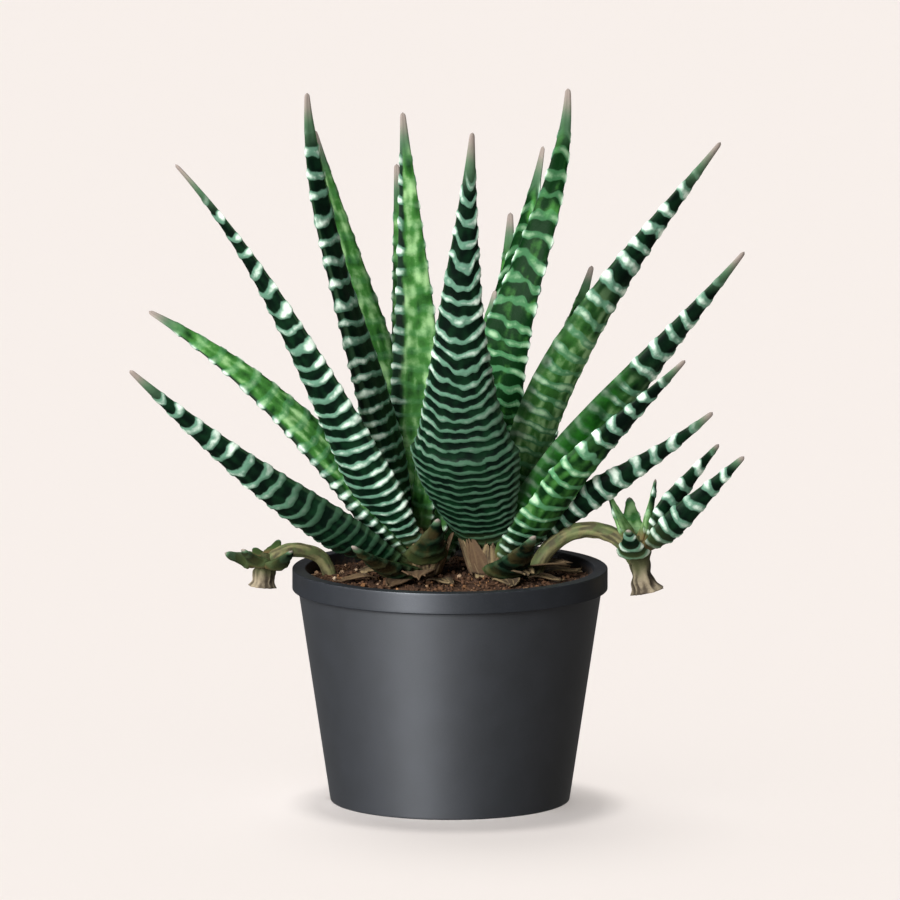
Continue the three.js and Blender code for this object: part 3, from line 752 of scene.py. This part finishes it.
# Offsets: two young plants, each on a runner that comes up out of the mix and arches over the rim.
# Runner, dried foot and little leaves grew as one, so each offset is one piece.
RUNNER_SPACING = 0.5
RIGHT_OFFSET = {
    "crown": {"x": 53, "y": 0, "top": 75, "drop": 1.2},
    "base": ((56, 0, 60), (54.8, 0, 65), (53.6, 0, 71), (53, 0, 76)),
    "base_radii": (4, 2.8, 3.4, 1.2),
    "runner": ((22, -1, 52), (23, -1, 63), (29, -1, 73.5), (38, -0.5, 78), (47, 0, 76), (53, 0, 69)),
    "runner_radii": (2.3, 2.3),
    "leaves": {
        "upper": dict(
            tier=0, bearing=20, climb=(70, 74, 78), twist=-30, length=18, width=8, greener=1, tone_and_painted_light=0.5
        ),
        "left": dict(
            tier=0, bearing=156, climb=(56, 60, 66), length=15, width=8, greener=1, tone_and_painted_light=0.5
        ),
        "right": dict(tier=1, bearing=10, climb=(58, 51, 47), twist=-60, length=36, width=10),
        "outer_right": dict(
            tier=2, bearing=344, sweep=8, climb=(41, 44, 44), twist=-60, length=40, width=10
        ),
        "back": dict(tier=2, bearing=95, climb=(30, 36, 42), length=20, width=9, tone_and_painted_light=0.5),
        "front": dict(tier=3, bearing=262, climb=(24, 34, 40), length=17, width=9),
    },
}
LEFT_OFFSET = {
    "crown": {"x": -52, "y": 0, "top": 70, "drop": 0.9},
    "base": ((-53.6, 0, 61.5), (-53.2, 0, 65), (-52.8, 0, 68), (-52.5, 0, 71)),
    "base_radii": (3.6, 2.8, 3, 1.4),
    "runner": (
        (-33, 7, 52), (-34, 7, 62), (-37, 6, 69), (-44, 3, 71.6), (-49, 1, 70.5), (-52.8, 0, 67)
    ),
    "runner_radii": (2, 2),
    "leaves": {
        "upper": dict(tier=0, bearing=70, climb=(16, 24, 32), length=9, width=6, painted_shade=1.07),
        "outer_left": dict(tier=1, bearing=188, climb=(6, 12, 22), twist=50, length=11, width=8, painted_shade=1.07),
        "left": dict(tier=1, bearing=236, climb=(16, 24, 34), length=12, width=8, painted_shade=1.07),
        "back": dict(tier=1, bearing=110, climb=(6, 10, 18), length=10, width=7, painted_shade=1.07),
        "front": dict(tier=2, bearing=300, climb=(18, 26, 32), length=13, width=8, painted_shade=1.07),
    },
}


def along_curve(points, t):
    """Places at t, from 0 to 1, on a smooth curve through points."""
    points = np.array(points, float)
    ends = np.vstack([2 * points[0] - points[1], points, 2 * points[-1] - points[-2]])
    first = np.minimum((t * (len(points) - 1)).astype(int), len(points) - 2)
    f = (t * (len(points) - 1) - first)[:, None]
    a, b, c, d = (ends[first + k] for k in range(4))
    return b + 0.5 * f * (c - a + f * (2 * a - 5 * b + 4 * c - d + f * (3 * (b - c) + d - a)))


def stalk_mesh(points, radii, seed, wrinkle):
    """A round, wrinkled stalk along a curve, with its radius changing evenly through radii."""
    length = float(np.sum(np.linalg.norm(np.diff(np.array(points), axis=0), axis=1)))
    a, t, mesh = tube(30, round(length / RUNNER_SPACING))
    centre = along_curve(points, t)
    forward = along_curve(points, np.minimum(t + 0.01, 1)) - along_curve(points, np.maximum(t - 0.01, 0))
    forward /= np.linalg.norm(forward, axis=1, keepdims=True)
    across = np.array([0, 1, 0.0])
    upward = np.cross(forward, across)
    upward /= np.linalg.norm(upward, axis=1, keepdims=True)
    radius = np.interp(t, np.linspace(0, 1, len(radii)), radii)
    straight = np.stack([np.cos(tau * a) * 3, np.sin(tau * a) * 3, t * length], -1)
    fibre = rippled(straight * (1, 1, 0.18), 1.1, seed)
    knot = rippled(straight * (0.2, 0.2, 1), 2.4, seed + 1)
    radius = radius * (1 + wrinkle * (0.6 * fibre + 0.5 * knot))
    angle = (tau * a)[:, None]
    shaped(mesh, centre + radius[:, None] * (np.cos(angle) * across + np.sin(angle) * upward))
    marked(mesh, "fibre", fibre)
    marked(mesh, "drop", t)
    return closed(mesh)


runner_skin, place = started("offset_stalk")
fibre = mark(place, "fibre")
patch = speckle(place, 2.6, 4, 0.6)
colour = mixed(between(fibre + patch, 0.2, 0.9), tint(66, 62, 38), tint(116, 112, 74))
colour = mixed(between(speckle(place, 4, 2), 0.45, 0.6) * 0.5, colour, tint(84, 104, 56))
finished(place, {"Base Color": colour, "Roughness": 0.7 + 0.2 * patch, "Normal": raised(patch, 0.3)})

foot_skin, place = started("dried_foot")
fibre = mark(place, "fibre")
drop = mark(place, "drop")
patch = speckle(place, 1.6, 4, 0.65)
colour = mixed(between(fibre + patch, 0.2, 0.9), tint(60, 50, 36), tint(138, 126, 104))
colour = mixed(between(drop + 0.3 * patch, 0.3, 0.75), colour, tint(58, 62, 30))
finished(place, {"Base Color": colour, "Roughness": 0.8 + 0.15 * patch, "Normal": raised(patch, 0.3)})


def offset_mesh(offset, seed):
    """One offset's runner, dried foot and leaves, joined in one mesh."""
    parts = [(stalk_mesh(offset["runner"], offset["runner_radii"], seed, 0.16), 0)]
    parts.append((stalk_mesh(offset["base"], offset["base_radii"], seed + 2, 0.5), 1))
    for place, leaf in enumerate(offset["leaves"].values()):
        parts.append((leaf_mesh(offset["crown"], leaf, seed + 5 * place), 2))
    bm = bmesh.new()
    for mesh, skin in parts:
        before = len(bm.faces)
        bm.from_mesh(mesh)
        bm.faces.ensure_lookup_table()
        for face in bm.faces[before:]:
            face.material_index = skin
    joined = bpy.data.meshes.new("offset")
    bm.to_mesh(joined)
    bm.free()
    for skin in (runner_skin, foot_skin, leaf_skin):
        joined.materials.append(skin)
    return joined


stood("left_young_plant", offset_mesh(LEFT_OFFSET, 400), "leaf", "left_offset")
stood("right_young_plant", offset_mesh(RIGHT_OFFSET, 500), "leaf", "right_offset")

# Dried sheaths: the papery feet of leaves that died long ago. They cup each stem and clasp the lowest
# leaves, some hang outward, and a few brown scraps lie curled on the mix.
SHEATH_RADIUS = 7.4
SHEATH_HEIGHT = 2.6
SHEATH_THICKNESS = 0.4
SHEATHS_ROUND_STEM = 11
HANGING_WIDTH = 9
HUGGING = (64, 74, 66)
HANGING = (26, 4, -10)
LYING = (30, -14, 6)


def sheath_sheet(crown, bearing, start, lift, length, width, climb, seed):
    """One thin dried sheath as an open sheet, curled round the stem that it grew from."""
    bm = bmesh.new()
    bmesh.ops.create_grid(bm, x_segments=16, y_segments=round(length / 0.5), size=1)
    mesh = bpy.data.meshes.new("sheath")
    bm.to_mesh(mesh)
    bm.free()
    flat = places_of(mesh) * MM
    u, t = flat[:, 0], (flat[:, 1] + 1) / 2
    grid = np.stack([u * 3, t * 0.5, 0 * t], -1)
    fibre = rippled(grid, 0.5, seed)
    torn = rippled(np.stack([u * 4, 0 * t, 0 * t], -1), 1.0, seed + 1)
    t = t * (1 + 0.28 * torn * t)
    ladder = np.linspace(0, 1.4, 80)
    slope = np.radians(through(climb, ladder))
    step = length * ladder[1]
    far = start + np.concatenate([[0], np.cumsum(np.cos(slope[:-1]) * step)])
    high = SOIL_TOP + lift + np.concatenate([[0], np.cumsum(np.sin(slope[:-1]) * step)])
    half = width / 2 * (1 - 0.62 * np.clip(t, 0, 1) ** 2) * (1 + 0.1 * rippled(grid, 1.3, seed + 2))
    reach, level = np.interp(t, ladder, far), np.interp(t, ladder, high)
    wrap = u * half / np.maximum(start, 4) * blended(1, 0.5, np.clip(t, 0, 1))
    crinkle = 0.3 * rippled(grid, 1.0, seed + 3) + 0.12 * fibre
    angle = np.radians(bearing) + wrap
    radial = reach + crinkle
    places = [crown["x"] + radial * np.cos(angle), crown["y"] + radial * np.sin(angle)]
    shaped(mesh, np.stack([*places, level + 0.9 * np.clip(t, 0, 1) * u * u + crinkle], -1))
    marked(mesh, "fibre", fibre)
    marked(mesh, "drop", t)
    marked(mesh, "tone", np.full(len(t), (seed * 0.618) % 1))
    return mesh


def sheath_cluster(crown, seed, hanging, lying):
    """All the dried sheaths of one stem, thickened into one mesh."""
    bm = bmesh.new()
    sheets = []
    for i in range(SHEATHS_ROUND_STEM):
        lift = SHEATH_HEIGHT + 1.2 * draw.random() - 1.4
        size = (8 + 3.5 * draw.random(), 8.5 + 2 * draw.random())
        bearing = i * 360 / SHEATHS_ROUND_STEM + 10 * draw.random()
        sheets.append((bearing, SHEATH_RADIUS - 0.5, lift, *size, HUGGING))
    for bearing, length in hanging:
        sheets.append((bearing, SHEATH_RADIUS, SHEATH_HEIGHT, length, HANGING_WIDTH, HANGING))
    for bearing, start, length in lying:
        sheets.append((bearing, start, 1.4, length, 5 + 3 * draw.random(), LYING))
    for i, (bearing, start, lift, length, width, climb) in enumerate(sheets):
        bm.from_mesh(sheath_sheet(crown, bearing, start, lift, length, width, climb, seed + 4 * i))
    bmesh.ops.solidify(bm, geom=bm.faces[:], thickness=SHEATH_THICKNESS * MM)
    bmesh.ops.recalc_face_normals(bm, faces=bm.faces)
    mesh = bpy.data.meshes.new("sheaths")
    bm.to_mesh(mesh)
    bm.free()
    mesh.shade_smooth()
    return mesh


sheath_skin, place = started("dried_sheath")
fibre, drop, tone = (mark(place, name) for name in ("fibre", "drop", "tone"))
patch = speckle(place, 2.2, 4, 0.65)
fine = speckle(place, 0.5, 3, 0.7)
colour = mixed(between(fibre + patch, 0.2, 0.95), tint(66, 52, 34), tint(126, 108, 76))
colour = mixed(between(tone + 0.3 * patch, 0.55, 0.9) * 0.8, colour, tint(86, 64, 42))
colour = mixed((1 - between(drop + 0.3 * patch, 0.1, 0.6)) * 0.6, colour, tint(78, 58, 40))
finished(
    place,
    {"Base Color": colour, "Roughness": 0.72 + 0.2 * fine, "Normal": raised(fine + 0.5 * fibre, 0.2)},
)
clusters = {
    "left": (LEFT_CROWN, 700, ((270, 15), (220, 12)), ((250, 13, 9), (300, 12, 8), (205, 14, 10))),
    "right": (RIGHT_CROWN, 800, ((354, 14), (300, 12)), ((330, 13, 9), (285, 13, 8), (12, 15, 10))),
}
for side_name, (crown, seed, hanging, lying) in clusters.items():
    mesh = sheath_cluster(crown, seed, hanging, lying)
    mesh.materials.append(sheath_skin)
    stood(f"{side_name}_dried_sheaths", mesh, "dried_sheath", f"{side_name}_sheaths")

# Floor and light: a plain pale table top, a soft light at the front left and one from above. A side
# light and a strip that its plastic mirrors fall on the pot alone. The table has lights of its own,
# and only the pot throws a shade there: one at its foot, and a wide one forward and to the right.
FLOOR_REACH = 6
LIGHT_DISTANCE = 4

bm = bmesh.new()
bmesh.ops.create_grid(bm, x_segments=1, y_segments=1, size=FLOOR_REACH)
floor_mesh = bpy.data.meshes.new("floor")
bm.to_mesh(floor_mesh)
bm.free()
floor = bpy.data.objects.new("floor", floor_mesh)
bpy.context.scene.collection.objects.link(floor)
material, place = started("pale_floor")
finished(place, {"Base Color": tint(248, 240, 235), "Roughness": 0.9, "Specular IOR Level": 0.1})
floor.data.materials.append(material)
floor.visible_glossy = False
only_pot = bpy.data.collections.new("only_pot")
only_pot.objects.link(pot)
only_floor = bpy.data.collections.new("only_floor")
all_but_floor = bpy.data.collections.new("all_but_floor")
for lit in (only_floor, all_but_floor):
    lit.objects.link(floor)
all_but_floor.collection_objects[0].light_linking.link_state = "EXCLUDE"


def lamp(name, kind, lit, power):
    """A new light that falls on the pieces in one collection only."""
    light = bpy.data.objects.new(name, bpy.data.lights.new(name, kind))
    bpy.context.scene.collection.objects.link(light)
    light.data.energy = power
    light.light_linking.receiver_collection = lit
    return light


soft_boxes = (
    ("key", all_but_floor, 238, 22, 1.6, 2.6, 330, (1, 1, 1)),
    ("gloss", only_pot, 242, 14, 1.4, 3, 620, (0.86, 0.91, 1)),
    ("side", only_pot, 190, 20, 1.6, 2.6, 70, (0.95, 0.97, 1)),
)
for name, lit, bearing, rise, across, upright, power, hue in soft_boxes:
    light = lamp(name, "AREA", lit, power)
    bearing, rise = radians(bearing), radians(rise)
    way = Vector((cos(bearing) * cos(rise), sin(bearing) * cos(rise), sin(rise)))
    light.location = Vector((0, 0, 0.09)) + LIGHT_DISTANCE * way
    light.rotation_euler = (-way).to_track_quat("-Z", "Y").to_euler()
    light.data.shape = "RECTANGLE"
    light.data.size = across
    light.data.size_y = upright
    light.data.color = hue
    light.visible_camera = False
    light.visible_diffuse = name != "gloss"
suns = (
    ("above", all_but_floor, 2, 70, -6, -10),
    ("table", only_floor, 1.13, 10, 0, 0),
    ("shade", only_floor, 0.85, 10, -7, -2),
    ("sky", only_floor, 0.3, 165, 0, 0),
    ("drift", only_floor, 0.8, 38, -36, -11),
)
for name, lit, power, spread, forward, rightward in suns:
    light = lamp(name, "SUN", lit, power)
    light.rotation_euler = (radians(forward), radians(rightward), 0)
    light.data.angle = radians(spread)
    light.data.use_shadow = name != "table"
    light.visible_glossy = False
    if lit == only_floor:
        light.light_linking.blocker_collection = only_pot
world = bpy.data.worlds.new("sky")
bpy.context.scene.world = world
world.use_nodes = True
world.node_tree.nodes["Background"].inputs["Color"].default_value = (1, 0.98, 0.96, 1)
world.node_tree.nodes["Background"].inputs["Strength"].default_value = 0.1
bpy.context.scene.view_settings.view_transform = "Standard"
